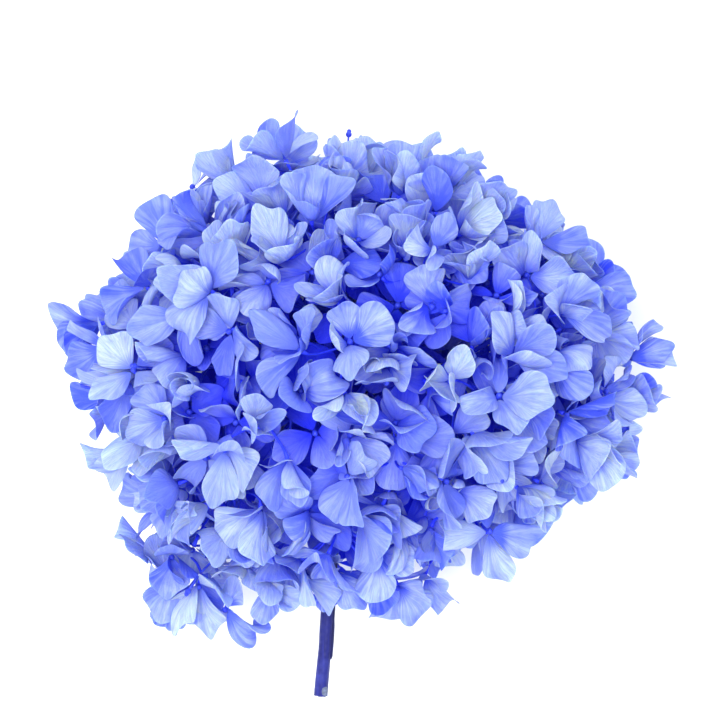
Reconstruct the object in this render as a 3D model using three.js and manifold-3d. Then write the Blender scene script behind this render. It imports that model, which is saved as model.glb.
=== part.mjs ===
// A preserved mophead hydrangea: one round flower head on a short cut stem, lying on its side.
//
// Millimetres, +Z up. The stem runs along -Y from the head and the crown of the head is at +Y. The head
// lies on the plane z = 0 with its lower florets against it, and the origin is on that plane, under the
// middle of the flower.
//
// How it is put together: the stem runs up into the head, and branches leave it one above another. Each
// branch ends in a knuckle, stalks fan out from there, and each stalk forks into a spray: an umbel of
// florets. A floret is four papery sepals round a small eye, on a thin pedicel.
import * as THREE from "three";
import { mergeVertices } from "three/addons/utils/BufferGeometryUtils.js";
import Module from "manifold-3d";

// ---- Driving dimensions -------------------------------------------------------------------------

const HEAD_HALF_WIDTH = 90; // from the middle of the head to the floret centres, along X
const HEAD_HALF_HEIGHT = 74; // the same along Y, the way the stem runs
const HEAD_HALF_DEPTH = 79; // the same along Z
const PRESSED_IN = 8; // how far the florets that the head lies on give way
const BARE_CAP = 0.9; // no spray points more squarely down the stem than this cosine

const STEM_CUT_Y = -109; // the cut end of the stem, from the middle of the head
const STEM_TOP_Y = 4; // where the stem ends inside the head
const STEM_RADIUS = 2.3;
const STEM_TOP_RADIUS = 1.7;
const STEM_OFFSET = -5; // how far the stem lies to the side of the middle of the head
const STEM_LEAN = -0.07; // sideways drift of the stem for each millimetre it runs down from the middle
const STEM_SIDES = 8;
const BARK_START = 8; // from the cut end to a strip of loose bark along the side of the stem
const BARK_LENGTH = 36;
const BARK_WIDTH = 2.3;
const BARK_PROUD = 0.9;

const BRANCH_COUNT = 10;
const BRANCH_HIGHEST_Y = -4; // where the highest and the lowest branch leave the stem
const BRANCH_LOWEST_Y = -46;
const BRANCH_REACH = 27; // from the middle of the head to the knuckle at a branch's tip
const BRANCH_RADIUS = 1.4;
const BRANCH_TIP_RADIUS = 1.1;
const BRANCH_SIDES = 6;
const KNUCKLE_RADIUS = 3.4; // large enough that the feet of its stalks stand clear of each other

const SPRAY_COUNT = 42;
const STALK_RADIUS = 0.7; // at the knuckle
const FORK_RADIUS = 0.9; // where the stalk forks into pedicels
const FORK_LENGTH = 1.5; // how far the thick end of the stalk runs on past the fork
const STALK_SIDES = 5;
const UMBEL_DEPTH = 15; // from a spray's fork out to its florets
const RING_COUNT = 4; // florets round the one in the middle of a spray
const RING_RADIUS = 16.5;
const RING_SPLAY = 0.38; // how far the ring's florets lean away from the middle one
const CROWN_RISE = 6; // how far the middle floret stands above the ring

const SEPAL_LENGTH = 13; // from the eye to the tip
const SEPAL_SHOULDER = 9.6; // from the eye to the widest place
const SEPAL_SPREAD = 0.56; // radians from the sepal's midline to its shoulder
const SEPAL_CUP = 0.12; // radians that a sepal rises from the floret's plane
const SHOULDER_LIFT = 0.8;
const TIP_DROP = 0.6;
const NOTCH_RADIUS = 3.4; // where two neighbouring sepals part
const EYE_THICKNESS = 0.9;
const NECK_RADIUS = 0.9;

const GAP = 0.3; // clearance between pieces that touch on the real flower
const SMALLEST_EDGE = 0.05; // edges shorter than this are dropped after a join or cut

// How much florets and sepals differ from each other, in millimetres, radians or as a share.
const VARIES = { cup: 0.3, size: 0.1, bearing: 0.25, offset: 2, rise: 3, splay: 0.2 };

// Places where the head bulges or dips from a plain ellipsoid: turn is the angle from +X towards +Y and
// rise the angle towards +Z, in degrees; swell is how far, and spread how wide in degrees.
const SWELLS = [
  { turn: 236, rise: 0, swell: 33, spread: 15 },
  { turn: 120, rise: 0, swell: 9, spread: 13 },
  { turn: 152, rise: 0, swell: -19, spread: 12 },
  { turn: 168, rise: 10, swell: 3, spread: 12 },
  { turn: 193, rise: 0, swell: -28, spread: 11 },
  { turn: 278, rise: 0, swell: 14, spread: 15 },
  { turn: 304, rise: 0, swell: -32, spread: 12 },
  { turn: 330, rise: 0, swell: -22, spread: 7 },
  { turn: 346, rise: 0, swell: 9, spread: 8 },
  { turn: 10, rise: 0, swell: -4, spread: 9 },
  { turn: 20, rise: 0, swell: 7, spread: 7 },
  { turn: 44, rise: 0, swell: -24, spread: 18 },
  { turn: 82, rise: 0, swell: -9, spread: 16 },
  { turn: 20, rise: 60, swell: 5, spread: 22 },
  { turn: 200, rise: 55, swell: 4, spread: 20 },
  { turn: 100, rise: 40, swell: -4, spread: 14 },
];

// ---- Materials ----------------------------------------------------------------------------------

const sepalMaterial = new THREE.MeshStandardMaterial({ color: 0x8ea2f6, roughness: 0.7, metalness: 0 });
const branchMaterial = new THREE.MeshStandardMaterial({ color: 0x3c4fd0, roughness: 0.65, metalness: 0 });
const stemMaterial = new THREE.MeshStandardMaterial({ color: 0x3a4296, roughness: 0.6, metalness: 0 });

// ---- Helpers ------------------------------------------------------------------------------------

const wasm = await Module();
wasm.setup();

const radians = THREE.MathUtils.degToRad;
const vector = (x, y, z) => new THREE.Vector3(x, y, z);
const GOLDEN_ANGLE = Math.PI * (3 - Math.sqrt(5));
const MIDDLE = vector(0, 0, HEAD_HALF_DEPTH - PRESSED_IN);
const UP = vector(0, 0, 1);
const DOWN = vector(0, 0, -1);

// A fixed scatter value from 0 to 1 for each whole number, with its own row of values for each salt.
const SALT = { cup: 1, size: 2, start: 3, bearing: 4, offset: 5, rise: 6, splay: 7, spin: 8 };

function scatter(number, salt) {
  const wave = Math.sin(number * 12.9898 + salt * 78.233) * 43758.5453;
  return wave - Math.floor(wave);
}

const vary = (number, what) => (2 * scatter(number, SALT[what]) - 1) * VARIES[what];

// A closed geometry as a solid. Only positions count, so doubled vertices are merged first.
function solidOf(geometry) {
  const bare = geometry.clone();
  bare.deleteAttribute("normal");
  bare.deleteAttribute("uv");
  const merged = mergeVertices(bare, 1e-4);
  return new wasm.Manifold(
    new wasm.Mesh({
      numProp: 3,
      vertProperties: new Float32Array(merged.attributes.position.array),
      triVerts: new Uint32Array(merged.index.array),
    }),
  );
}

function geometryOf(solid) {
  const mesh = solid.getMesh();
  return new THREE.BufferGeometry()
    .setAttribute("position", new THREE.BufferAttribute(new Float32Array(mesh.vertProperties), 3))
    .setIndex(new THREE.BufferAttribute(new Uint32Array(mesh.triVerts), 1));
}

// The largest of a solid's separate bodies: a cut can leave crumbs.
function mainBody(solid) {
  const bodies = solid.simplify(SMALLEST_EDGE).decompose();
  return bodies.reduce((best, body) => (body.volume() > best.volume() ? body : best));
}

// A tapered rod with flat ends from one point to another.
function rod(from, to, fromRadius, toRadius, sides) {
  const run = to.clone().sub(from);
  const geometry = new THREE.CylinderGeometry(toRadius, fromRadius, run.length(), sides);
  geometry.translate(0, run.length() / 2, 0);
  geometry.applyQuaternion(new THREE.Quaternion().setFromUnitVectors(vector(0, 1, 0), run.normalize()));
  return geometry.translate(from.x, from.y, from.z);
}

// ---- The shape of the head ----------------------------------------------------------------------

function swellAt(direction, { turn, rise, swell, spread }) {
  const axis = vector(Math.cos(radians(turn)), Math.sin(radians(turn)), Math.tan(radians(rise)));
  const off = direction.angleTo(axis) / radians(spread);
  return swell * Math.exp(-off * off);
}

// How far the floret centres lie from the middle of the head, in a direction.
function reach({ x, y, z }) {
  const plain = 1 / Math.hypot(x / HEAD_HALF_WIDTH, y / HEAD_HALF_HEIGHT, z / HEAD_HALF_DEPTH);
  return SWELLS.reduce((sum, place) => sum + swellAt(vector(x, y, z), place), plain);
}

const onHead = (direction, lift) => MIDDLE.clone().addScaledVector(direction, reach(direction) + lift);

// The way the head's surface faces, from the plain ellipsoid.
function facing({ x, y, z }) {
  return vector(x / HEAD_HALF_WIDTH ** 2, y / HEAD_HALF_HEIGHT ** 2, z / HEAD_HALF_DEPTH ** 2).normalize();
}

// Directions in a golden spiral round Y, from the crown down to the bare cap round the stem. They are
// stretched with the head, so that they lie evenly over its surface.
function spiral(count) {
  const stretch = vector(HEAD_HALF_WIDTH, HEAD_HALF_HEIGHT, HEAD_HALF_DEPTH);
  return Array.from({ length: count }, (_, i) => {
    const y = 1 - ((i + 0.5) / count) * (1 + BARE_CAP);
    const side = Math.sqrt(1 - y * y);
    const even = vector(side * Math.cos(i * GOLDEN_ANGLE), y, side * Math.sin(i * GOLDEN_ANGLE));
    return even.multiply(stretch).normalize();
  });
}

const sprayWays = spiral(SPRAY_COUNT);
const branchWays = spiral(BRANCH_COUNT);
const knuckles = branchWays.map((way) => MIDDLE.clone().addScaledVector(way, BRANCH_REACH));

// ---- Stem and branches --------------------------------------------------------------------------

const stemAt = (y) => vector(STEM_OFFSET + STEM_LEAN * -y, y, MIDDLE.z);

// The stem is a tapering rod, cut off square at its foot, with a strip of bark left on its side. With a
// clearance it is the room that the stem takes up, by which its neighbours are cut back.
function stem(clearance) {
  const foot = stemAt(STEM_CUT_Y - clearance);
  const top = stemAt(STEM_TOP_Y + clearance);
  const shaft = rod(foot, top, STEM_RADIUS + clearance, STEM_TOP_RADIUS + clearance, STEM_SIDES);
  const bark = new THREE.BoxGeometry(
    2 * (BARK_PROUD + clearance), BARK_LENGTH + 2 * clearance, BARK_WIDTH + 2 * clearance,
  );
  const beside = stemAt(STEM_CUT_Y + BARK_START + BARK_LENGTH / 2);
  bark.rotateZ(Math.atan(STEM_LEAN)).translate(beside.x + STEM_RADIUS, beside.y, beside.z);
  return mainBody(solidOf(shaft).add(solidOf(bark)));
}

// A branch from the middle of the stem to the knuckle that its stalks leave from.
function branch(index, clearance) {
  const share = index / (BRANCH_COUNT - 1);
  const root = stemAt(THREE.MathUtils.lerp(BRANCH_HIGHEST_Y, BRANCH_LOWEST_Y, share));
  const knuckle = knuckles[index];
  const limb = rod(
    root, knuckle, BRANCH_RADIUS + clearance, BRANCH_TIP_RADIUS + clearance, BRANCH_SIDES,
  );
  const knob = new THREE.IcosahedronGeometry(KNUCKLE_RADIUS + clearance, 0);
  knob.translate(knuckle.x, knuckle.y, knuckle.z);
  return mainBody(solidOf(limb).add(solidOf(knob)));
}

const stemRoom = stem(GAP);
const branchRooms = branchWays.map((_, i) => branch(i, GAP));

// ---- Florets ------------------------------------------------------------------------------------

// One floret as a closed shell: four thin kite-shaped sepals that taper to their edges, and a pedicel
// that runs from under the eye back to a root in the spray's fork. No point of it goes below z = 0.
function floret({ centre, normal, spin, seed }, root) {
  const turn = new THREE.Quaternion().setFromUnitVectors(UP, normal);
  const local = (radius, angle, height) => vector(
    radius * Math.cos(angle + spin), radius * Math.sin(angle + spin), height,
  ).applyQuaternion(turn);

  const rim = [0, 1, 2, 3].flatMap((sepal) => {
    const middle = (sepal * Math.PI) / 2;
    const cup = SEPAL_CUP + vary(seed * 4 + sepal, "cup");
    const size = 1 + vary(seed * 4 + sepal, "size");
    const at = (radius, angle, lift) => local(
      radius * size * Math.cos(cup), angle, radius * size * Math.sin(cup) + lift,
    );
    return [
      local(NOTCH_RADIUS, middle - Math.PI / 4, 0),
      at(SEPAL_SHOULDER, middle - SEPAL_SPREAD, SHOULDER_LIFT),
      at(SEPAL_LENGTH, middle, -TIP_DROP),
      at(SEPAL_SHOULDER, middle + SEPAL_SPREAD, SHOULDER_LIFT),
    ];
  });
  const eye = local(0, 0, EYE_THICKNESS / 2);
  const neck = [-1, 1, 3, 5].map((k) => local(NECK_RADIUS, (k * Math.PI) / 4, -EYE_THICKNESS / 2));
  const head = [...rim, eye, ...neck];
  const lowest = centre.z + Math.min(...head.map((p) => p.z));
  const seat = vector(centre.x, centre.y, centre.z + Math.max(0, -lowest));
  const points = head.map((p) => p.add(seat)).concat(root);

  const eyeAt = rim.length;
  const neckAt = eyeAt + 1;
  const rootAt = neckAt + neck.length;
  const faces = rim.flatMap((_, i) => [eyeAt, i, (i + 1) % rim.length]);
  neck.forEach((_, k) => {
    const near = neckAt + k;
    const far = neckAt + ((k + 1) % neck.length);
    const [notch, left, tip, right, next] = [0, 1, 2, 3, 4].map((i) => (4 * k + i) % rim.length);
    faces.push(near, left, notch, near, tip, left, near, far, tip);
    faces.push(far, right, tip, far, next, right, near, rootAt, far);
  });
  return solidOf(
    new THREE.BufferGeometry()
      .setAttribute("position", new THREE.Float32BufferAttribute(points.flatMap((p) => p.toArray()), 3))
      .setIndex(faces),
  );
}

// Where a spray's florets sit and how they face: a ring, and one in the middle, as on a dome. Florets
// near the plane that the head lies on are pressed flat against it.
function umbel(index) {
  const way = sprayWays[index];
  const outward = facing(way);
  const across = vector(0, 1, 0).cross(outward).normalize();
  const along = outward.clone().cross(across);
  const start = scatter(index, SALT.start) * Math.PI * 2;

  return Array.from({ length: RING_COUNT + 1 }, (_, k) => {
    const crown = k === RING_COUNT;
    const seed = index * (RING_COUNT + 1) + k;
    const bearing = start + (k * Math.PI * 2) / RING_COUNT + vary(seed, "bearing");
    const sideways = across.clone().multiplyScalar(Math.cos(bearing));
    sideways.addScaledVector(along, Math.sin(bearing));
    const off = (crown ? 0 : RING_RADIUS) + vary(seed, "offset");
    const ray = way.clone().multiplyScalar(reach(way)).addScaledVector(sideways, off).normalize();
    const centre = onHead(ray, (crown ? CROWN_RISE : 0) + vary(seed, "rise"));
    const splay = (crown ? 0 : RING_SPLAY) + vary(seed, "splay");
    const pressed = THREE.MathUtils.clamp(1 - centre.z / SEPAL_LENGTH, 0, 1);
    const normal = facing(ray).addScaledVector(sideways, splay).normalize().lerp(DOWN, pressed).normalize();
    return { centre, normal, spin: scatter(seed, SALT.spin) * Math.PI, seed };
  });
}

// ---- Sprays -------------------------------------------------------------------------------------

// Trims an umbel to its own share of the head, so that neighbouring sprays never meet.
function trimmed(solid, index) {
  const way = sprayWays[index];
  return sprayWays.reduce((kept, other, i) => {
    if (i === index || other.dot(way) < 0) return kept;
    const between = way.clone().sub(other).normalize();
    return kept.trimByPlane(between.toArray(), between.dot(MIDDLE) + GAP / 2);
  }, solid);
}

const forks = sprayWays.map((way) => onHead(way, -UMBEL_DEPTH));
const branchOf = (way) => branchWays.reduce(
  (best, branchWay, i) => (branchWay.dot(way) > branchWays[best].dot(way) ? i : best), 0,
);

// A spray's stalk starts at the knuckle whose branch points most nearly its way, so that no two cross.
function stalk(index, clearance) {
  const fork = forks[index];
  const knuckle = knuckles[branchOf(sprayWays[index])];
  const end = fork.clone().sub(knuckle).setLength(FORK_LENGTH).add(fork);
  return solidOf(rod(knuckle, end, STALK_RADIUS + clearance, FORK_RADIUS + clearance, STALK_SIDES));
}

const stalkRooms = forks.map((_, i) => stalk(i, GAP));
const cutBack = (solid, rooms) => rooms.reduce((kept, room) => kept.subtract(room), solid);

// A spray is a stalk and an umbel of florets at its fork, joined into one body.
function spray(index) {
  const fork = forks[index];
  const florets = umbel(index).map((place) => {
    const root = place.centre.clone().sub(fork).setLength(FORK_RADIUS / 2).add(fork);
    return floret(place, root);
  });
  const otherStalks = stalkRooms.filter((_, i) => i !== index);
  const head = cutBack(trimmed(wasm.Manifold.union(florets), index), otherStalks);
  return mainBody(cutBack(head.add(stalk(index, 0)), [stemRoom, ...branchRooms]));
}

// ---- The whole flower ---------------------------------------------------------------------------

const hydrangea = new THREE.Group();

function place(name, solid, material) {
  const mesh = new THREE.Mesh(geometryOf(solid), material);
  mesh.name = name;
  hydrangea.add(mesh);
}

const numbered = (name, index) => `${name}_${String(index + 1).padStart(2, "0")}`;

place("stem", stem(0), stemMaterial);
branchWays.forEach((_, i) => {
  place(numbered("branch", i), mainBody(cutBack(branch(i, 0), [stemRoom])), branchMaterial);
});
sprayWays.forEach((_, i) => place(numbered("spray", i), spray(i), sepalMaterial));

// The origin goes under the middle of the flower, on the plane it lies on.
const box = new THREE.Box3().setFromObject(hydrangea);
hydrangea.position.set(-(box.min.x + box.max.x) / 2, -(box.min.y + box.max.y) / 2, -box.min.z);

export default hydrangea;
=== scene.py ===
"""A preserved mophead hydrangea on a short cut stem, lying on its side.

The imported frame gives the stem, the branches and the sprays. This script makes the fine pieces that
stand for them: papery sepals, small beads, pedicels and stalks for each spray, a few bare buds, the
branches, and the stem with its bark and its cut end. Lengths are in metres and angles in radians.
"""

import math
import random

import bmesh
import bpy
import numpy as np
from bpy.props import FloatProperty, FloatVectorProperty, IntProperty, PointerProperty
from mathutils import Matrix, Vector, noise
from mathutils.bvhtree import BVHTree


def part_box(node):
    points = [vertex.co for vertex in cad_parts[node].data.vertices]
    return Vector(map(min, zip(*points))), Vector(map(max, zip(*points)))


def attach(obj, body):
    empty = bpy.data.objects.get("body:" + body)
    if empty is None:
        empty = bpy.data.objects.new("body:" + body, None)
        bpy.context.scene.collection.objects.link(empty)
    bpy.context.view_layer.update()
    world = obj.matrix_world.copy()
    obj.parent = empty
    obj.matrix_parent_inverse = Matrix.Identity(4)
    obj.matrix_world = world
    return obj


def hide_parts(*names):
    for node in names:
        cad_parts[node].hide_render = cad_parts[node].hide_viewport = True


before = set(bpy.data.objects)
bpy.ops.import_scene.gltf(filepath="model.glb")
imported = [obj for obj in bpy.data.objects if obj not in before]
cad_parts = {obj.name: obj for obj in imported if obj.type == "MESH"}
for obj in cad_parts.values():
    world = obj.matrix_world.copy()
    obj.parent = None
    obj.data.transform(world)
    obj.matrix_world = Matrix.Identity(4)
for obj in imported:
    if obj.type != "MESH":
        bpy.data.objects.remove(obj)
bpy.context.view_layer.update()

bl_info = {
    "name": "Hydrangea Head",
    "version": (1, 0, 0),
    "blender": (4, 5, 0),
    "location": "3D View > Sidebar > Hydrangea",
    "description": "Makes the sepals, stalks, branches and stem of a preserved hydrangea head",
    "category": "Object",
}

BODY = "root"
MM = 0.001
HEAD_SEED = 21
BUD_SEED = 8
FLORETS = 10  # in a spray: five outer ones, then five inner ones
LOWEST_CENTRE = 0.004
PRESSED_BELOW = 0.013
# Depth below the head's surface over which the painted shade between the florets builds to full strength.
SUNK_SHADE_DEPTH = 0.022
GOLDEN_ANGLE = math.pi * (3 - math.sqrt(5))
UP = Vector((0, 0, 1))
DOWN = Vector((0, 0, -1))
SPRAYS = sorted(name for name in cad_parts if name.startswith("spray_"))
BRANCHES = sorted(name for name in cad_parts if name.startswith("branch_"))

# Where the head bulges or dips: degrees round from +X to +Y, degrees up to +Z, millimetres out, and
# degrees wide.
SWELLS = (
    (236, 0, 33, 15),
    (120, 0, 9, 13),
    (152, 0, -19, 12),
    (168, 10, 3, 12),
    (193, 0, -28, 11),
    (278, 0, 14, 15),
    (304, 0, -32, 12),
    (330, 0, -22, 7),
    (346, 0, 9, 8),
    (10, 0, -4, 9),
    (20, 0, 7, 7),
    (44, 0, -24, 18),
    (82, 0, -9, 16),
    (20, 60, 5, 22),
    (200, 55, 4, 20),
    (100, 40, -4, 14),
)

# One row of fixed scatter values for each thing that differs from floret to floret.
SALT = {"start": 3, "bearing": 4, "offset": 5, "rise": 6, "splay": 7}


# ---- Sizes and colours that a user would change --------------------------------------------------


def length(name, description, default):
    return FloatProperty(name=name, description=description, default=default, unit="LENGTH", precision=4)


def colour(name, description, default):
    return FloatVectorProperty(
        name=name, description=description, default=default, size=3, subtype="COLOR", min=0, max=1
    )


class HydrangeaHead(bpy.types.PropertyGroup):
    half_width: length("Half width", "From the middle of the head to the floret centres, along X", 0.090)
    half_height: length("Half height", "The same along Y, the way the stem runs", 0.074)
    half_depth: length("Half depth", "The same along Z", 0.079)
    bare_cap: FloatProperty(
        name="Bare cap", description="Cosine within which no spray points down the stem", default=0.9
    )
    umbel_depth: length("Umbel depth", "From a spray's fork out to its florets", 0.015)
    ring_radius: length("Ring radius", "From a spray's middle floret to the ones round it", 0.0165)
    crown_rise: length("Crown rise", "How far the middle floret stands above the ring", 0.006)
    ring_splay: FloatProperty(
        name="Ring splay", description="How far the ring's florets lean outwards", default=0.38
    )
    branch_reach: length("Branch reach", "From the middle of the head to a branch's knuckle", 0.027)
    under_drop: length("Under drop", "How far the inner florets lie below the outer ones", 0.010)
    turned_up: FloatProperty(
        name="Turned up", description="How far the upper side's florets turn to face up", default=0.25
    )
    apron: IntProperty(name="Apron", description="Florets that hang over the top of the stem", default=7)
    hole_depth: length("Hole depth", "A hole deeper than this gets a floret of its own", 0.011)
    drawn_in: length("Drawn in", "How far the fine florets sit inside the frame's shorter ones", 0.009)


class HydrangeaSepals(bpy.types.PropertyGroup):
    long: length("Length", "From the eye to the tip of a sepal", 0.0158)
    wide: length("Width", "Across the widest place of a sepal", 0.0165)
    thick: length("Thickness", "Thickness of a sepal", 0.00015)
    buds: IntProperty(name="Buds", description="How many bare pedicels end in a bud", default=9)
    bead: length("Bead", "Radius of the bead in the middle of a floret", 0.00105)
    pedicel: length("Pedicel", "Radius of a pedicel", 0.00042)
    pale: colour("Pale", "The palest blue of a sepal", (0.485, 0.575, 0.68))
    # Deep is the darkest dye of a sepal, and the same blue also serves as painted shade towards each
    # sepal's base.
    deep: colour("Deep", "The deepest blue of a sepal", (0.06, 0.10, 0.76))
    grey: colour("Grey", "The greyed lavender of weathered sepals", (0.36, 0.44, 0.68))
    # Painted shade: this strong blue stands for the shade deep down between the florets.
    inner: colour("Inner", "The strong blue down between the florets", (0.006, 0.016, 0.97))


class HydrangeaStem(bpy.types.PropertyGroup):
    radius: length("Radius", "Radius of the stem at its cut end", 0.0023)
    top_radius: length("Top radius", "Radius of the stem inside the head", 0.0017)
    cut: length("Cut", "From the middle of the head down to the cut end", 0.109)
    top: length("Top", "How far the stem runs on past the middle of the head", 0.004)
    bark_end: length("Bark end", "How far down the loose strip of bark reaches", 0.097)
    offset: length("Offset", "How far the stem lies to the side of the middle of the head", -0.005)
    lean: FloatProperty(name="Lean", description="Sideways drift of the stem on its way down", default=0.07)
    bark: colour("Bark", "The indigo of the stem", (0.014, 0.018, 0.19))
    worn: colour("Worn", "The lighter indigo where the bark is worn", (0.038, 0.048, 0.31))
    pith: colour("Pith", "The grey of bare wood at the cut end", (0.14, 0.17, 0.27))


class HydrangeaStage(bpy.types.PropertyGroup):
    view_height: length("View height", "From the middle of the head up to the camera", 1.4)
    frame_width: length("Frame width", "Width of the view at the middle of the head", 0.240)
    frame_shift_x: length("Shift across", "How far the view's centre lies to the side", -0.0012)
    frame_shift_y: length("Shift along", "How far the view's centre lies towards the crown", 0.0165)


def settings():
    """The sizes of the head."""
    return bpy.context.scene.hydrangea_head


# ---- The shape of the head -----------------------------------------------------------------------


def scatter(number, salt):
    """A fixed value from 0 to 1 for each whole number, as the frame's own florets use."""
    wave = math.sin(number * 12.9898 + salt * 78.233) * 43758.5453
    return wave - math.floor(wave)


def vary(number, what, most):
    """A fixed value up to most either way."""
    return (2 * scatter(number, SALT[what]) - 1) * most


def head_middle():
    """The middle of the head, worked out from where the frame's stem lies."""
    stem = bpy.context.scene.hydrangea_stem
    low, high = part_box("stem")
    across = stem.lean * stem.cut + stem.radius - stem.offset
    return Vector((low.x + across, low.y + stem.cut, (low.z + high.z) / 2))


def plain_reach(way):
    """How far the floret centres would lie from the middle of a head with no bulges or dips."""
    head = settings()
    shares = (way.x / head.half_width, way.y / head.half_height, way.z / head.half_depth)
    return 1 / Vector(shares).length


def reach(way):
    """How far the floret centres lie from the middle of the head."""
    plain = plain_reach(way)
    for turn, rise, swell, spread in SWELLS:
        turn, rise = math.radians(turn), math.radians(rise)
        axis = Vector((math.cos(turn), math.sin(turn), math.tan(rise)))
        off = way.angle(axis) / math.radians(spread)
        plain += swell * MM * math.exp(-off * off)
    return plain


def facing(way):
    """The way out of the smooth head's surface."""
    head = settings()
    return Vector(
        (way.x / head.half_width**2, way.y / head.half_height**2, way.z / head.half_depth**2)
    ).normalized()


def spiral(count):
    """Even directions in a golden spiral round Y, from the crown down to the bare cap."""
    head = settings()
    ways = []
    for i in range(count):
        y = 1 - (i + 0.5) / count * (1 + head.bare_cap)
        side = math.sqrt(1 - y * y)
        ways.append(
            Vector(
                (
                    side * math.cos(i * GOLDEN_ANGLE) * head.half_width,
                    y * head.half_height,
                    side * math.sin(i * GOLDEN_ANGLE) * head.half_depth,
                )
            ).normalized()
        )
    return ways


def umbel(index, way, middle):
    """The florets of a spray: a ring of four, one in the middle, and five small ones further in."""
    head = settings()
    outward = facing(way)
    across = Vector((0, 1, 0)).cross(outward).normalized()
    along = outward.cross(across)
    start = scatter(index, SALT["start"]) * math.tau
    places = []
    for k in range(FLORETS):
        crown, under = k == 4, k > 4
        seed = index * 5 + k if not under else 1000 + index * 5 + k
        turn = k * math.tau / 4 if not under else (k - 4.6) * math.tau / 5
        bearing = start + turn + vary(seed, "bearing", 0.25)
        off = (0 if crown else head.ring_radius * (1.1 if under else 1)) + vary(seed, "offset", 0.002)
        sideways = across * math.cos(bearing) + along * math.sin(bearing)
        ray = (way * reach(way) + sideways * off).normalized()
        drop = head.under_drop * (0.5, 1, 0.6, 1.4, 0.8)[k % 5]
        rise = (head.crown_rise if crown else -drop if under else 0) + vary(seed, "rise", 0.003)
        centre = middle + ray * (reach(ray) + rise - head.drawn_in)
        centre.z = max(centre.z, LOWEST_CENTRE)
        splay = (0 if crown else head.ring_splay) + vary(seed, "splay", 0.2)
        pressed = min(1, max(0, 1 - centre.z / PRESSED_BELOW))
        normal = (facing(ray) + sideways * splay).normalized().lerp(DOWN, pressed).normalized()
        if ray.z > -0.3:
            normal = normal.lerp(UP, head.turned_up).normalized()
        places.append({"centre": centre, "normal": normal, "under": under, "pressed": pressed})
    return places


# ---- Meshes --------------------------------------------------------------------------------------


def new_piece(name, bm, material, replaces=()):
    """Makes a bmesh a finished, smooth-shaded piece with its material, and hides the frame's parts that it
    replaces.
    """
    mesh = bpy.data.meshes.new(name)
    bm.to_mesh(mesh)
    bm.free()
    mesh.materials.append(material)
    mesh.shade_smooth()
    piece = bpy.data.objects.new(name, mesh)
    bpy.context.scene.collection.objects.link(piece)
    if replaces:
        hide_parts(*replaces)
    return piece


def add_tube(bm, points, radii, sides):
    """A closed round tube through the points: a disc extruded from each point to the next."""
    verts = bmesh.ops.create_circle(bm, cap_ends=True, segments=sides, radius=radii[0])["verts"]
    face = verts[0].link_faces[0]
    heading = (points[1] - points[0]).normalized()
    turn = (-UP).rotation_difference(heading).to_matrix()
    for v in verts:
        v.co = points[0] + turn @ v.co
    for i in range(1, len(points)):
        ahead = points[min(i + 1, len(points) - 1)] - points[i - 1]
        bend = heading.rotation_difference(ahead).to_matrix()
        heading = ahead.normalized()
        grown = bmesh.ops.extrude_face_region(bm, geom=[face])["geom"]
        face = next(g for g in grown if isinstance(g, bmesh.types.BMFace))
        scale = radii[i] / radii[i - 1]
        for v in face.verts:
            v.co = points[i] + bend @ (v.co - points[i - 1]) * scale
    return face


def curve_points(start, start_way, end, end_way, count):
    """Points on a smooth curve that leaves start along start_way and reaches end along end_way."""
    pull = (end - start).length * 0.4
    a, b = start + start_way * pull, end - end_way * pull
    points = []
    for i in range(count + 1):
        t = i / count
        points.append(
            start * (1 - t) ** 3 + a * 3 * t * (1 - t) ** 2 + b * 3 * t * t * (1 - t) + end * t**3
        )
    for point in points:
        point.z = max(point.z, 0.002)
    return points


# ---- Sepals --------------------------------------------------------------------------------------

SEPAL_CELLS = 6


def sepal_grid():
    """A square grid's corners and cells, rounded into a disc that each sepal is shaped from."""
    bm = bmesh.new()
    bmesh.ops.create_grid(bm, x_segments=SEPAL_CELLS, y_segments=SEPAL_CELLS, size=1)
    corners = np.array([v.co.xy[:] for v in bm.verts])
    cells = [[v.index for v in f.verts] for f in bm.faces]
    bm.free()
    x, y = corners.T
    disc = np.stack([x * np.sqrt(1 - y * y / 2), y * np.sqrt(1 - x * x / 2)], 1)
    return disc, cells


def sepal_look(rng, openness, size):
    """How one sepal differs from a plain one."""
    look = {
        "long": size * rng.uniform(0.88, 1.12),
        "wide": size * rng.uniform(0.82, 1.15),
        "cup": rng.choice((-0.5, -0.8, 0.4, 0.7, 1.0, 1.3)) * rng.uniform(0.6, 1.3),
        "side": rng.choice((-1, 1)),
        "roll": rng.choice((0, 0, 0.5, 1.0, -0.9)) * rng.uniform(0.5, 1.4),
        "bend": rng.gauss(-0.1, 0.65),
        "tip": rng.choice((0, 0, 0, 0.8, -0.9)) * rng.uniform(0.5, 1.4),
        "fold": rng.choice((0, 0, 0, 0.15, 0.35, 0.7, -0.3)),
        "wave": rng.uniform(0.3, 1.5) * MM,
        "waves": rng.choice((2, 3, 3, 4)),
        "phase": rng.uniform(0, math.tau),
        "crease": rng.uniform(0.2, 0.7) * MM,
        "lobes": [rng.uniform(-0.045, 0.045) for _ in range(4)],
        "slant": rng.uniform(-1, 1),
        "point": rng.choice((-0.06, -0.03, 0, 0, 0.05, 0.14)),
        "twist": rng.gauss(0, 0.35),
        "lift": openness + rng.gauss(0, 0.4),
        "swing": rng.gauss(0, 0.17),
    }
    if rng.random() < 0.1:
        look["cup"] = rng.uniform(2.0, 3.2)
    return look


def curl(distance, angle_at):
    """Lays flat distances along a curve whose slope at each distance is given: how far out, how high."""
    steps = (np.arange(10) + 0.5) / 10
    angles = angle_at(distance[:, None] * steps)
    return distance * np.cos(angles).mean(1), distance * np.sin(angles).mean(1)


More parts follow.
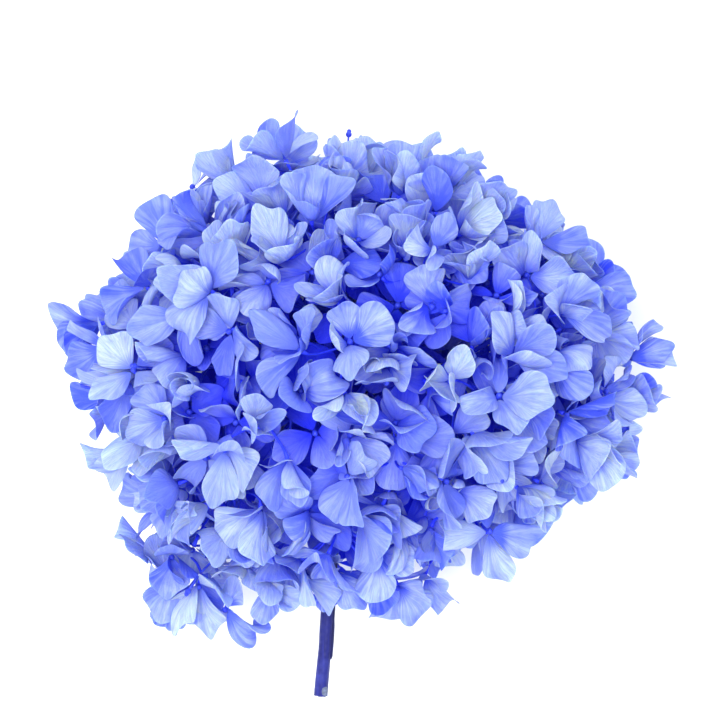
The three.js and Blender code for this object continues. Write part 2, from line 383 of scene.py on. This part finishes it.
def sepal_shape(disc, look, sepals):
    """The disc shaped as a sepal that grows along +X from the origin, cupped towards +Z."""
    x, y = disc.T
    t = (x + 1) / 2
    taper = 0.22 + 0.78 * np.clip(t / 0.66, 0, 1) ** 0.9
    edge = np.clip(x * x + y * y, 0, 1)
    bearing = np.arctan2(y, x)
    ragged = sum(lobe * np.sin((n + 3) * bearing + 9 * lobe) for n, lobe in enumerate(look["lobes"]))
    ragged = 1 + ragged * edge * np.clip(t * 2, 0, 1)
    half = sepals.wide * look["wide"] / 2
    full = sepals.long * look["long"]
    side = look["side"]
    out = full * ragged * (t + look["point"] * np.clip(1 - np.abs(y) * 2.2, 0, 1) * t**4)
    cup, roll = look["cup"], 2 * side * look["roll"]
    across, height = curl(
        y * taper * half * ragged,
        lambda s: cup * s / half + roll * np.clip(side * s / half - 0.25, 0, 1),
    )
    height += look["fold"] * np.abs(across) * t
    height += look["wave"] * edge**2 * np.sin(look["waves"] * np.arctan2(y, x + 0.3) + look["phase"]) * t
    height += look["crease"] * np.sin(5 * (y + look["slant"] * t) + 2 * look["phase"]) * t
    bend, tip = look["bend"], 2 * look["tip"]
    px, pz = curl(out, lambda s: bend * s / full + tip * np.clip(s / full - 0.5, 0, 1))
    slope = bend * t + tip * np.clip(t - 0.5, 0, 1)
    px, pz = px - height * np.sin(slope), pz + height * np.cos(slope)
    twist = look["twist"] * t
    py, pz = across * np.cos(twist), pz + across * np.sin(twist)
    lift, eye = look["lift"], 0.0009
    qx = eye + px * math.cos(lift) - pz * math.sin(lift)
    qz = px * math.sin(lift) + pz * math.cos(lift)
    return np.stack([qx, py, qz], 1)


def place_sepal(disc, look, sepals, k, stand):
    """The corners of the k-th sepal of a floret that stands at a centre, with a normal and a spin."""
    centre, normal, spin = stand
    turn = UP.rotation_difference(normal).to_matrix()
    turn = turn @ Matrix.Rotation(spin + k * math.pi / 2 + look["swing"], 3, "Z")
    local = sepal_shape(disc, look, sepals)
    local[:, 2] += 0.0004 * (k % 2)
    world = local @ np.array(turn).T + np.array(centre)
    world[:, 2] = press_flat(world[:, 2])
    return world


def press_flat(z):
    """Keeps every corner just above the surface that the flower lies on."""
    floor, soft = 0.0004, 0.003
    return floor + soft * np.logaddexp(0, (z - floor) / soft)


def tree_of(shapes, cells):
    """A search tree of some sepals' cells."""
    count = len(shapes[0])
    faces = [[i + n * count for i in cell] for n in range(len(shapes)) for cell in cells]
    return BVHTree.FromPolygons([Vector(c) for c in np.concatenate(shapes)], faces)


def meetings(tree, neighbours):
    """How many cells of a tree run through its neighbours."""
    return sum(len(tree.overlap(other)) for other in neighbours)


def best_floret(rng, disc, cells, sepals, place, neighbours):
    """Tries several turns, leans and heights for a floret and keeps the one that meets least."""
    best = None
    lean_most = 0.2 if place["pressed"] else place["lean"]
    for attempt in range(place["tries"]):
        looks = [sepal_look(rng, place["open"], place["size"]) for _ in range(4)]
        lean = Vector((rng.gauss(0, 1), rng.gauss(0, 1), rng.gauss(0, 1))) * lean_most
        normal = (place["normal"] + lean).normalized()
        centre = place["centre"] + place["normal"] * rng.uniform(-0.003, 0.003) * (attempt > 0)
        centre.z = max(centre.z, 0.003)
        stand = (centre, normal, rng.uniform(0, math.tau))
        made = [place_sepal(disc, look, sepals, k, stand) for k, look in enumerate(looks)]
        tree = tree_of(made, cells)
        meets = meetings(tree, neighbours)
        if best is None or meets < best["meets"]:
            best = {"meets": meets, "made": made, "tree": tree, "centre": centre, "normal": normal}
            best["stand"] = stand
        if not meets:
            break
    return best


def near_trees(grown, done, reach_out=0.040):
    """The trees of the florets close enough to touch one."""
    near = [d for d in done if d is not grown and (d["centre"] - grown["centre"]).length < reach_out]
    return [d["tree"] for d in near]


def settle_sepals(rng, disc, cells, sepals, places):
    """Bends single sepals another way where they still run through a neighbour."""
    done = [place["grown"] for place in places]
    for place in places:
        grown = place["grown"]
        neighbours = near_trees(grown, done)
        if not meetings(grown["tree"], neighbours):
            continue
        for k in range(4):
            shape = grown["made"][k]
            meets = meetings(tree_of([shape], cells), neighbours)
            for _ in range(8):
                if not meets:
                    break
                look = sepal_look(rng, place["open"], place["size"])
                other = place_sepal(disc, look, sepals, k, grown["stand"])
                fewer = meetings(tree_of([other], cells), neighbours)
                if fewer < meets:
                    shape, meets = other, fewer
            grown["made"][k] = shape
        grown["tree"] = tree_of(grown["made"], cells)
        grown["meets"] = meetings(grown["tree"], neighbours)


def gaps(places, cells, middle):
    """Directions in which the florets so far leave a deep hole in the upper side of the head."""
    head = settings()
    whole = tree_of([shape for place in places for shape in place["grown"]["made"]], cells)
    found = []
    above, apart, lowest = 0.03, 0.013, 0.02
    for way in spiral(900):
        surface = middle + way * (reach(way) - head.drawn_in)
        hit = whole.ray_cast(surface + way * above, -way)
        hole = hit[0] is None or hit[3] > above + head.hole_depth
        alone = all((surface - other).length > apart for _way, other in found)
        if hole and alone and surface.z > lowest:
            found.append((way, surface))
    return found


def grow_florets(umbels, ways, middle):
    """Settles every floret of the head from the inner ones outwards, then those that fill holes and
    those that hang over the top of the stem."""
    head = settings()
    sepals = bpy.context.scene.hydrangea_sepals
    disc, cells = sepal_grid()
    rng = random.Random(HEAD_SEED)
    done = []

    def grow(place):
        under = place["under"]
        place["open"] = rng.choice((-0.1, 0.15, 0.3, 0.5, 0.75, 1.0))
        place["size"] = rng.uniform(0.76, 0.98) if under else rng.uniform(0.86, 1.12)
        place["lean"] = rng.choice((0.2, 0.3, 0.45, 0.7))
        place["tries"] = 10 if under else 30
        grown = best_floret(rng, disc, cells, sepals, place, near_trees(place, done))
        grown["tone"] = min(1, max(0, rng.gauss(0.5, 0.2)))
        grown["seed"] = rng.random()
        place["grown"] = grown
        done.append(grown)

    places = sorted((place for umbel in umbels for place in umbel), key=lambda place: not place["under"])
    for place in places:
        grow(place)
    extra = [(way, surface - way * 0.004, 0.2) for way, surface in gaps(places, cells, middle)]
    # The apron fans out round the stem, on the upper side.
    for i in range(head.apron):
        turn = (i / (head.apron - 1) - 0.5) * 0.9
        way = Vector((math.sin(turn) - 0.12, -1, 0.32 * math.cos(turn * 2.2))).normalized()
        extra.append((way, middle + way * (reach(way) - 0.006), 0.6))
    for way, centre, turned_up in extra:
        normal = facing(way).lerp(UP, turned_up).normalized()
        place = {"centre": centre, "normal": normal, "under": False, "pressed": 0}
        grow(place)
        places.append(place)
        umbels[max(range(len(ways)), key=lambda i: ways[i].dot(way))].append(place)
    settle_sepals(rng, disc, cells, sepals, places)
    return disc


def add_sepals(bm, disc, middle, florets):
    """Adds the sepals of some florets to a bmesh, each a grid moved onto its shape, with its own UVs."""
    uv_layer = bm.loops.layers.uv.new("sepal")
    # Each corner's colour attribute holds its sepal's tone, a seed, and how far it lies below the head's
    # surface; the last drives the painted shade between the florets.
    tint_and_shade_layer = bm.verts.layers.float_color.new("tint_and_shade")
    for floret in florets:
        grown = floret["grown"]
        for k, shape in enumerate(grown["made"]):
            grid = bmesh.ops.create_grid(bm, x_segments=SEPAL_CELLS, y_segments=SEPAL_CELLS, size=1)
            seed = scatter(int(grown["seed"] * 9973) + k, 11)
            tone = min(1, max(0, grown["tone"] + (scatter(int(seed * 9973), 12) - 0.5) * 0.5))
            where = {}
            for v, corner, (u, w) in zip(grid["verts"], shape, disc):
                v.co = corner
                way = v.co - middle
                surface = min(reach(way.normalized()), plain_reach(way.normalized()) + 0.005)
                # Painted shade mask: how far the corner lies below the head's surface.
                sunk_shade = (surface - way.length) / SUNK_SHADE_DEPTH
                v[tint_and_shade_layer] = (tone, seed, min(1, max(0, sunk_shade)), 1)
                where[v] = ((u + 1) / 2, w / 2 + 0.5)
            for face in {f for v in grid["verts"] for f in v.link_faces}:
                for loop in face.loops:
                    loop[uv_layer].uv = where[loop.vert]


# ---- Materials -----------------------------------------------------------------------------------


class Tree:
    """Short calls to add nodes to a node tree and link them."""

    def __init__(self, tree):
        self.tree = tree

    def link(self, value, socket):
        """Links an output to an input."""
        self.tree.links.new(value, socket)

    def node(self, kind, inputs=(), **values):
        """Adds a node. Each input is an output to link or a plain value."""
        made = self.tree.nodes.new(kind)
        for key, value in values.items():
            setattr(made, key, value)
        for key, value in dict(inputs).items():
            if isinstance(value, bpy.types.NodeSocket):
                self.link(value, made.inputs[key])
            else:
                made.inputs[key].default_value = value
        return made

    def math(self, operation, a, b=0.0, clamp=False):
        """The result of a Math node."""
        made = self.node("ShaderNodeMath", {0: a, 1: b}, operation=operation, use_clamp=clamp)
        return made.outputs[0]

    def mix(self, factor, a, b):
        """The colour that a Mix node makes of two."""
        made = self.node("ShaderNodeMix", data_type="RGBA")
        for key, value in ((0, factor), (6, a), (7, b)):
            if isinstance(value, bpy.types.NodeSocket):
                self.link(value, made.inputs[key])
            elif key:
                made.inputs[key].default_value = (*value, 1)
            else:
                made.inputs[key].default_value = value
        return made.outputs[2]

    def remap(self, value, low, high, to_low=0.0, to_high=1.0):
        """A value carried from one range to another."""
        inputs = {"Value": value, "From Min": low, "From Max": high, "To Min": to_low, "To Max": to_high}
        return self.node("ShaderNodeMapRange", inputs).outputs["Result"]

    def blotches(self, place, scale):
        """The dye's blotches at some scale."""
        group = bpy.data.node_groups["Dye Blotches"]
        return self.node("ShaderNodeGroup", {"Place": place, "Scale": scale}, node_tree=group).outputs[0]

    def noise(self, vector, scale, detail=2.0, rough=0.5):
        """A Noise Texture's value."""
        inputs = {"Vector": vector, "Scale": scale, "Detail": detail, "Roughness": rough}
        return self.node("ShaderNodeTexNoise", inputs).outputs["Fac"]


def new_group(name, inputs, outputs):
    """An empty shader node group with the given sockets, each a name and a socket type."""
    group = bpy.data.node_groups.new(name, "ShaderNodeTree")
    for socket, kind in inputs:
        group.interface.new_socket(socket, in_out="INPUT", socket_type=kind)
    for socket, kind in outputs:
        group.interface.new_socket(socket, in_out="OUTPUT", socket_type=kind)
    tree = Tree(group)
    return group, tree, tree.node("NodeGroupInput").outputs, tree.node("NodeGroupOutput").inputs


def veins_group():
    """Fine veins that fan out from the claw of a sepal: a pattern that runs along rays of its UV map."""
    group, tree, given, put = new_group(
        "Sepal Veins",
        [("UV", "NodeSocketVector"), ("Seed", "NodeSocketFloat")],
        [("Veins", "NodeSocketFloat"), ("Ribs", "NodeSocketFloat"), ("Edge", "NodeSocketFloat")],
    )
    apart = tree.node("ShaderNodeSeparateXYZ", {0: given["UV"]}).outputs
    x = tree.math("ADD", apart[0], 0.06)
    y = tree.math("SUBTRACT", apart[1], 0.5)
    ray = tree.math("DIVIDE", y, x)
    out = tree.math("MULTIPLY", given["Seed"], 40.0)
    fan = tree.node("ShaderNodeCombineXYZ", {0: tree.math("MULTIPLY", ray, 9.0), 1: apart[0], 2: out})
    fine = tree.math("ABSOLUTE", tree.math("SUBTRACT", tree.noise(fan.outputs[0], 2.2, 2.0, 0.6), 0.5))
    broad = tree.noise(fan.outputs[0], 0.8, 1.0, 0.5)
    tree.link(tree.remap(fine, 0.0, 0.075, 1.0, 0.0), put["Veins"])
    tree.link(tree.remap(broad, 0.35, 0.65), put["Ribs"])
    centred = tree.math("SUBTRACT", apart[0], 0.5)
    far = tree.math("ADD", tree.math("POWER", centred, 2.0), tree.math("POWER", y, 2.0))
    tree.link(tree.remap(far, 0.2, 0.25), put["Edge"])
    return group


def blotches_group():
    """Soft blotches, as dye takes unevenly in a plant: a pattern over the place, at a given scale."""
    group, tree, given, put = new_group(
        "Dye Blotches",
        [("Place", "NodeSocketVector"), ("Scale", "NodeSocketFloat")],
        [("Blotch", "NodeSocketFloat")],
    )
    cloud = tree.noise(given["Place"], given["Scale"], 2.5, 0.55)
    tree.link(tree.remap(cloud, 0.3, 0.7), put["Blotch"])
    return group


def base_material(name, **values):
    """A material with its node tree and its shader, whose plain sockets take the given values."""
    material = bpy.data.materials.new(name)
    material.use_nodes = True
    tree = Tree(material.node_tree)
    shader = material.node_tree.nodes["Principled BSDF"]
    for key, value in values.items():
        shader.inputs[key.replace("_", " ")].default_value = value
    return material, tree, shader


def sepal_material():
    """Papery dyed sepals: a tone for each, paler rims, fanned veins, soft blotches, painted shade towards
    each sepal's base and painted blue shade on sepals lying deep between the florets.
    """
    sepals = bpy.context.scene.hydrangea_sepals
    material, tree, shader = base_material("Sepal Paper", Roughness=0.62)
    uv = tree.node("ShaderNodeUVMap", uv_map="sepal").outputs[0]
    # The colour attribute brings each sepal's tone, its seed and the painted shade mask.
    tint_and_shade = tree.node("ShaderNodeAttribute", attribute_name="tint_and_shade").outputs["Color"]
    tone, seed, sunk_shade = tree.node("ShaderNodeSeparateColor", {0: tint_and_shade}).outputs
    veins = tree.node("ShaderNodeGroup", node_tree=bpy.data.node_groups["Sepal Veins"])
    tree.link(uv, veins.inputs["UV"])
    tree.link(seed, veins.inputs["Seed"])
    place = tree.node("ShaderNodeTexCoord").outputs["Object"]
    along = tree.node("ShaderNodeSeparateXYZ", {0: uv}).outputs[0]
    blotches = tree.remap(tree.blotches(place, 90.0), 0, 1, -0.2, 0.2)
    pale = tree.math("ADD", tree.math("MULTIPLY", tone, 0.9), blotches)
    pale = tree.math("ADD", pale, tree.math("MULTIPLY", veins.outputs["Edge"], 0.04))
    pale = tree.math("ADD", pale, tree.remap(veins.outputs["Ribs"], 0, 1, -0.15, 0.15))
    # Painted shade: the blue deepens towards each sepal's base, where the sepals crowd round the eye.
    pale = tree.math("ADD", pale, tree.remap(along, 0.0, 0.4, -0.8, 0.0), clamp=True)
    flat = tree.mix(pale, sepals.deep, sepals.pale)
    patches = tree.remap(tree.noise(place, 14.0, 1.0, 0.5), 0.4, 0.62, 0.0, 0.4)
    grey = tree.math("ADD", tree.math("MULTIPLY", tree.remap(seed, 0.6, 1.0), 0.45), patches, clamp=True)
    flat = tree.mix(grey, flat, sepals.grey)
    lined = tree.mix(tree.math("MULTIPLY", veins.outputs["Veins"], 0.30), flat, sepals.deep)
    # Painted shade: corners lying deep below the head's surface are mixed towards the strong blue that
    # stands for the shade between the florets.
    lined = tree.mix(tree.remap(sunk_shade, 0.12, 0.85, 0.0, 0.93), lined, sepals.inner)
    tree.link(lined, shader.inputs["Base Color"])
    wrinkles = tree.noise(place, 420.0, 3.0, 0.6)
    ribs = tree.math("MULTIPLY", veins.outputs["Ribs"], 1.5)
    height = tree.math("SUBTRACT", ribs, veins.outputs["Veins"])
    height = tree.math("ADD", height, tree.math("MULTIPLY", wrinkles, 1.6))
    bump = tree.node("ShaderNodeBump", {"Strength": 0.5, "Distance": 0.0003, "Height": height})
    tree.link(bump.outputs[0], shader.inputs["Normal"])
    shader.inputs["Subsurface Weight"].default_value = 0.5
    shader.inputs["Subsurface Radius"].default_value = (0.12, 0.22, 1.0)
    shader.inputs["Subsurface Scale"].default_value = 0.0015
    shader.inputs["Specular IOR Level"].default_value = 0.25
    return material


def skin_material(name, dark, light, scale, roughness):
    """Smooth blue skin with a soft blotchy variation between two tones."""
    material, tree, shader = base_material(name, Roughness=roughness, Specular_IOR_Level=0.25)
    place = tree.node("ShaderNodeTexCoord").outputs["Object"]
    shade = tree.mix(tree.blotches(place, scale), dark, light)
    tree.link(shade, shader.inputs["Base Color"])
    return material


def bark_material(name, bark, worn):
    """Indigo bark, darker towards the head, with streaks along it and worn patches near the cut."""
    stem = bpy.context.scene.hydrangea_stem
    material, tree, shader = base_material(name, Roughness=0.6)
    place = tree.node("ShaderNodeTexCoord").outputs["Object"]
    stretched = tree.node("ShaderNodeMapping", {"Vector": place, "Scale": (1.0, 0.05, 1.0)}).outputs[0]
    streaks = tree.noise(stretched, 1400.0, 3.0, 0.65)
    middle = head_middle().y
    along = tree.node("ShaderNodeSeparateXYZ", {0: place}).outputs[1]
    near_head = tree.remap(along, middle - stem.cut + 0.004, middle - stem.cut + 0.022)
    dark = (bark[0] * 0.35, bark[1] * 0.35, bark[2] * 0.5)
    shade = tree.mix(tree.remap(streaks, 0.35, 0.62), dark, bark)
    patches = tree.remap(tree.blotches(place, 160.0), 0.3, 0.9, 0.0, 0.7)
    patches = tree.math("MULTIPLY", patches, tree.remap(near_head, 0, 1, 1.0, 0.25))
    shade = tree.mix(patches, shade, worn)
    shade = tree.mix(tree.math("MULTIPLY", near_head, 0.45), shade, dark)
    tree.link(shade, shader.inputs["Base Color"])
    bump = tree.node("ShaderNodeBump", {"Strength": 0.6, "Distance": 0.0003, "Height": streaks})
    tree.link(bump.outputs[0], shader.inputs["Normal"])
    shader.inputs["Specular IOR Level"].default_value = 0.3
    return material


def wood_material():
    """Bare greyish wood with a fine grain, where the bark is cut away."""
    stem = bpy.context.scene.hydrangea_stem
    material, tree, shader = base_material("Bare Wood", Roughness=0.75)
    place = tree.node("ShaderNodeTexCoord").outputs["Object"]
    grain = tree.noise(place, 1300.0, 3.0, 0.6)
    shade = tree.mix(tree.remap(grain, 0.35, 0.65), tuple(c * 0.55 for c in stem.pith), stem.pith)
    tree.link(shade, shader.inputs["Base Color"])
    return material


# ---- Operators -----------------------------------------------------------------------------------


class HYDRANGEA_OT_materials(bpy.types.Operator):
    """Makes the node group and the materials that the pieces share"""

    bl_idname = "hydrangea.materials"
    bl_label = "Materials"

    def execute(self, context):
        veins_group()
        blotches_group()
        sepal_material()
        skin_material("Stalk Skin", (0.012, 0.025, 0.80), (0.04, 0.07, 0.95), 300.0, 0.5)
        skin_material("Bead Skin", (0.010, 0.020, 0.38), (0.05, 0.08, 0.70), 900.0, 0.45)
        stem = context.scene.hydrangea_stem
        bark_material("Stem Bark", stem.bark, stem.worn)
        bark_material("Loose Bark", tuple(0.5 * c for c in stem.bark), stem.bark)
        wood_material()
        return {"FINISHED"}


class HYDRANGEA_OT_sprays(bpy.types.Operator):
    """Makes the sepals, beads, pedicels and stalk of each spray"""

    bl_idname = "hydrangea.sprays"
    bl_label = "Sprays"

    def execute(self, context):
        head = settings()
        sepals = context.scene.hydrangea_sepals
        middle = head_middle()
        ways = spiral(len(SPRAYS))
        branch_ways = spiral(len(BRANCHES))
        umbels = [umbel(i, way, middle) for i, way in enumerate(ways)]
        disc = grow_florets(umbels, ways, middle)
        for name, way, places in zip(SPRAYS, ways, umbels):
            bm = bmesh.new()
            add_sepals(bm, disc, middle, places)
            piece = new_piece(name + "_sepals", bm, bpy.data.materials["Sepal Paper"], [name])
            solid = piece.modifiers.new("Thickness", "SOLIDIFY")
            solid.thickness = sepals.thick
            solid.offset = 0
            smooth = piece.modifiers.new("Smooth", "SUBSURF")
            smooth.levels = smooth.render_levels = 1
            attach(piece, BODY)

            fork = middle + way * (reach(way) - head.umbel_depth)
            nearest = max(branch_ways, key=way.dot)
            knuckle = middle + nearest * head.branch_reach
            bm = bmesh.new()
            rise = (fork - knuckle).normalized()
            points = curve_points(knuckle, (rise + nearest * 0.5).normalized(), fork, rise, 8)
            add_tube(bm, points, [0.0012] + [0.0009] * 7 + [0.0011], 8)
            for place in places:
                grown = place["grown"]
                foot = fork if not place["under"] else points[5]
                top = grown["centre"] - grown["normal"] * 0.0004
                leave = (rise + (top - foot).normalized()).normalized()
                points_up = curve_points(foot, leave, top, grown["normal"], 6)
                add_tube(bm, points_up, [sepals.pedicel * s for s in (1.2, 1, 1, 1, 1, 1.2, 1.9)], 6)
            stalks = new_piece(name + "_stalks", bm, bpy.data.materials["Stalk Skin"])
            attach(stalks, BODY)

            bm = bmesh.new()
            for place in places:
                grown = place["grown"]
                at = grown["centre"] + grown["normal"] * sepals.bead * 0.9
                turn = UP.rotation_difference(grown["normal"]).to_matrix().to_4x4()
                matrix = Matrix.Translation(at) @ turn
                bmesh.ops.create_icosphere(bm, subdivisions=2, radius=sepals.bead, matrix=matrix)
            beads = new_piece(name + "_beads", bm, bpy.data.materials["Bead Skin"])
            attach(beads, BODY)
        return {"FINISHED"}


class HYDRANGEA_OT_buds(bpy.types.Operator):
    """Makes the few bare pedicels with an unopened bud that stand up between the florets"""

    bl_idname = "hydrangea.buds"
    bl_label = "Buds"

    def execute(self, context):
        sepals = context.scene.hydrangea_sepals
        middle = head_middle()
        rng = random.Random(BUD_SEED)
        crown = Vector((-0.045, 1, 0)).normalized()
        ways = [crown]
        while len(ways) < sepals.buds:
            way = Vector((rng.gauss(0, 1), rng.gauss(0, 1), rng.gauss(0, 1))).normalized()
            if way.z > -0.5 and way.y > -0.8 and min(way.angle(other) for other in ways) > 0.5:
                ways.append(way)
        bm = bmesh.new()
        for i, way in enumerate(ways):
            tip = middle + way * (reach(way) + (0.010 if i == 0 else rng.uniform(-0.003, 0.004)))
            side = Vector((rng.gauss(0, 1), rng.gauss(0, 1), rng.gauss(0, 1))) * 0.25
            foot = middle + way * (reach(way) - 0.026) + side * 0.006
            points = curve_points(foot, way, tip, (way + side).normalized(), 8)
            add_tube(bm, points, [sepals.pedicel * (1.3 - 0.06 * n) for n in range(9)], 6)
            for reach_out, size in ((0, 1.0), (0.0011, 0.75)):
                matrix = Matrix.Translation(tip + (way + side).normalized() * reach_out)
                bmesh.ops.create_icosphere(bm, subdivisions=2, radius=sepals.bead * size, matrix=matrix)
        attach(new_piece("buds", bm, bpy.data.materials["Bead Skin"]), BODY)
        return {"FINISHED"}


class HYDRANGEA_OT_branches(bpy.types.Operator):
    """Makes the branches, from the stem to the knuckles that the stalks leave from"""

    bl_idname = "hydrangea.branches"
    bl_label = "Branches"

    def execute(self, context):
        head = settings()
        stem = context.scene.hydrangea_stem
        middle = head_middle()
        ways = spiral(len(BRANCHES))
        for i, (name, way) in enumerate(zip(BRANCHES, ways)):
            down = 0.004 + 0.042 * i / (len(BRANCHES) - 1)
            root = middle + Vector((stem.offset - stem.lean * down, -down, 0))
            knuckle = middle + way * head.branch_reach
            bm = bmesh.new()
            points = curve_points(root, Vector((0, 1, 0)).lerp(way, 0.6).normalized(), knuckle, way, 8)
            radii = [0.0019, 0.0016, 0.0014, 0.0013, 0.0013, 0.0013, 0.0016, 0.0022, 0.0016]
            add_tube(bm, points, radii, 12)
            skin = bpy.data.materials["Stalk Skin"]
            piece = new_piece(name + "_skin", bm, skin, [name])
            smooth = piece.modifiers.new("Smooth", "SUBSURF")
            smooth.levels = smooth.render_levels = 1
            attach(piece, BODY)
        return {"FINISHED"}


class HYDRANGEA_OT_stem(bpy.types.Operator):
    """Makes the woody stem, the strip of bark left on its side and the bare wood at its cut end"""

    bl_idname = "hydrangea.stem"
    bl_label = "Stem"

    def execute(self, context):
        stem = context.scene.hydrangea_stem
        middle = head_middle()

        def centre(down):
            """The middle line of the stem, so far down from the middle of the head."""
            sway = noise.noise(Vector((down * 60, 0.3, 0.7))) * 0.0004
            return middle + Vector((stem.offset - stem.lean * down + sway, -down, sway * 0.6))

        def around(down):
            share = (down + stem.top) / (stem.cut + stem.top)
            return stem.top_radius + (stem.radius - stem.top_radius) * share

        bm = bmesh.new()
        steps = [stem.cut - (stem.cut + stem.top) * i / 44 for i in range(45)]
        add_tube(bm, [centre(down) for down in steps], [around(down) for down in steps], 24)
        crease = bm.edges.layers.float.new("crease_edge")
        for v in bm.verts:
            line = centre(middle.y - v.co.y)
            out = v.co - line
            turn = math.atan2(out.z, out.x)
            ridge = 0.05 * math.sin(3 * turn + v.co.y * 25) + 0.035 * math.sin(7 * turn + v.co.y * 40)
            knots = 0.05 * noise.noise(v.co * 260)
            v.co += Vector((out.x, 0, out.z)) * (ridge + knots)
            if v.co.y < middle.y - stem.cut + 0.0005:
                v.co.y += 0.0003 * noise.noise(v.co * 900)
        for edge in bm.edges:
            if all(v.co.y < middle.y - stem.cut + 0.0006 for v in edge.verts):
                edge[crease] = 0.9
        piece = new_piece("stem_wood", bm, bpy.data.materials["Stem Bark"], ["stem"])
        self.settle(piece)

        bm = bmesh.new()
        steps = [stem.bark_end - 0.044 * i / 16 for i in range(17)]
        points = [centre(down) + Vector((around(down) - 0.0004, 0, 0.0003)) for down in steps]
        add_tube(bm, points, [0.0010 - 0.0003 * i / 16 for i in range(17)], 10)
        for v in bm.verts:
            v.co.x += 0.00015 * noise.noise(v.co * 420)
        self.settle(new_piece("stem_strip", bm, bpy.data.materials["Loose Bark"]))

        bm = bmesh.new()
        end = centre(stem.cut)
        chip = Matrix.Translation(end + Vector((0.0013, 0.0017, 0.0015)))
        chip = chip @ Matrix.Rotation(0.6, 4, "Y") @ Matrix.Diagonal((1.3, 2.0, 0.75, 1))
        bmesh.ops.create_icosphere(bm, subdivisions=3, radius=0.001, matrix=chip)
        pith = Matrix.Translation(end) @ Matrix.Diagonal((1.2, 0.35, 1.1, 1))
        bmesh.ops.create_icosphere(bm, subdivisions=3, radius=0.001, matrix=pith)
        for v in bm.verts:
            v.co += Vector((1, 0, 1)) * 0.0002 * noise.noise(v.co * 1500)
        self.settle(new_piece("stem_pith", bm, bpy.data.materials["Bare Wood"]))
        return {"FINISHED"}

    def settle(self, piece):
        smooth = piece.modifiers.new("Smooth", "SUBSURF")
        smooth.levels = smooth.render_levels = 1
        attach(piece, BODY)


class HYDRANGEA_OT_stage(bpy.types.Operator):
    """Makes the pale floor, the soft lights and the camera that looks straight down"""

    bl_idname = "hydrangea.stage"
    bl_label = "Stage"

    def execute(self, context):
        stage = context.scene.hydrangea_stage
        middle = head_middle()
        bpy.ops.mesh.primitive_plane_add(size=6)
        floor = context.object
        floor.name = "floor"
        material, _tree, shader = base_material("Floor", Roughness=0.9)
        shader.inputs["Base Color"].default_value = (0.96, 0.96, 0.96, 1)
        floor.data.materials.append(material)

        for name, place, size, power in (
            ("key", (-0.28, 0.02, 1.85), 0.8, 38),
            ("fill", (0.9, 0.6, 1.5), 1.4, 9),
            ("low", (-0.6, -1.1, 0.8), 0.9, 6),
        ):
            data = bpy.data.lights.new(name, "AREA")
            data.size = size
            data.energy = power
            light = bpy.data.objects.new(name, data)
            light.location = Vector(place)
            light.rotation_euler = (Vector(place) - middle).to_track_quat("Z", "Y").to_euler()
            context.scene.collection.objects.link(light)
        world = bpy.data.worlds.new("studio")
        world.use_nodes = True
        world.node_tree.nodes["Background"].inputs[0].default_value = (0.84, 0.90, 1, 1)
        world.node_tree.nodes["Background"].inputs[1].default_value = 1.0
        context.scene.world = world

        data = bpy.data.cameras.new("camera")
        data.sensor_width = 36
        data.lens = data.sensor_width * stage.view_height / stage.frame_width
        data.clip_end = 20
        camera = bpy.data.objects.new("camera", data)
        camera.location = (stage.frame_shift_x, stage.frame_shift_y, middle.z + stage.view_height)
        context.scene.collection.objects.link(camera)
        context.scene.camera = camera
        context.scene.view_settings.view_transform = "Standard"
        return {"FINISHED"}


class HYDRANGEA_PT_panel(bpy.types.Panel):
    """Lists the makers in the order they run"""

    bl_label = "Hydrangea"
    bl_idname = "HYDRANGEA_PT_panel"
    bl_space_type = "VIEW_3D"
    bl_region_type = "UI"
    bl_category = "Hydrangea"

    def draw(self, context):
        for name in GROUPS:
            group = getattr(context.scene, "hydrangea_" + name)
            box = self.layout.box()
            for key in group.__annotations__:
                box.prop(group, key)
        for maker in MAKERS:
            self.layout.operator(maker.bl_idname)


GROUPS = {
    "head": HydrangeaHead,
    "sepals": HydrangeaSepals,
    "stem": HydrangeaStem,
    "stage": HydrangeaStage,
}
MAKERS = (
    HYDRANGEA_OT_materials,
    HYDRANGEA_OT_stage,
    HYDRANGEA_OT_sprays,
    HYDRANGEA_OT_buds,
    HYDRANGEA_OT_branches,
    HYDRANGEA_OT_stem,
)


def register():
    for cls in (*GROUPS.values(), *MAKERS, HYDRANGEA_PT_panel):
        bpy.utils.register_class(cls)
    for name, cls in GROUPS.items():
        setattr(bpy.types.Scene, "hydrangea_" + name, PointerProperty(type=cls))


def unregister():
    for name in GROUPS:
        delattr(bpy.types.Scene, "hydrangea_" + name)
    for cls in reversed((*GROUPS.values(), *MAKERS, HYDRANGEA_PT_panel)):
        bpy.utils.unregister_class(cls)


def main():
    register()
    bpy.ops.hydrangea.materials()
    bpy.ops.hydrangea.stage()
    bpy.ops.hydrangea.sprays()
    bpy.ops.hydrangea.buds()
    bpy.ops.hydrangea.branches()
    bpy.ops.hydrangea.stem()


if __name__ == "__main__":
    main()
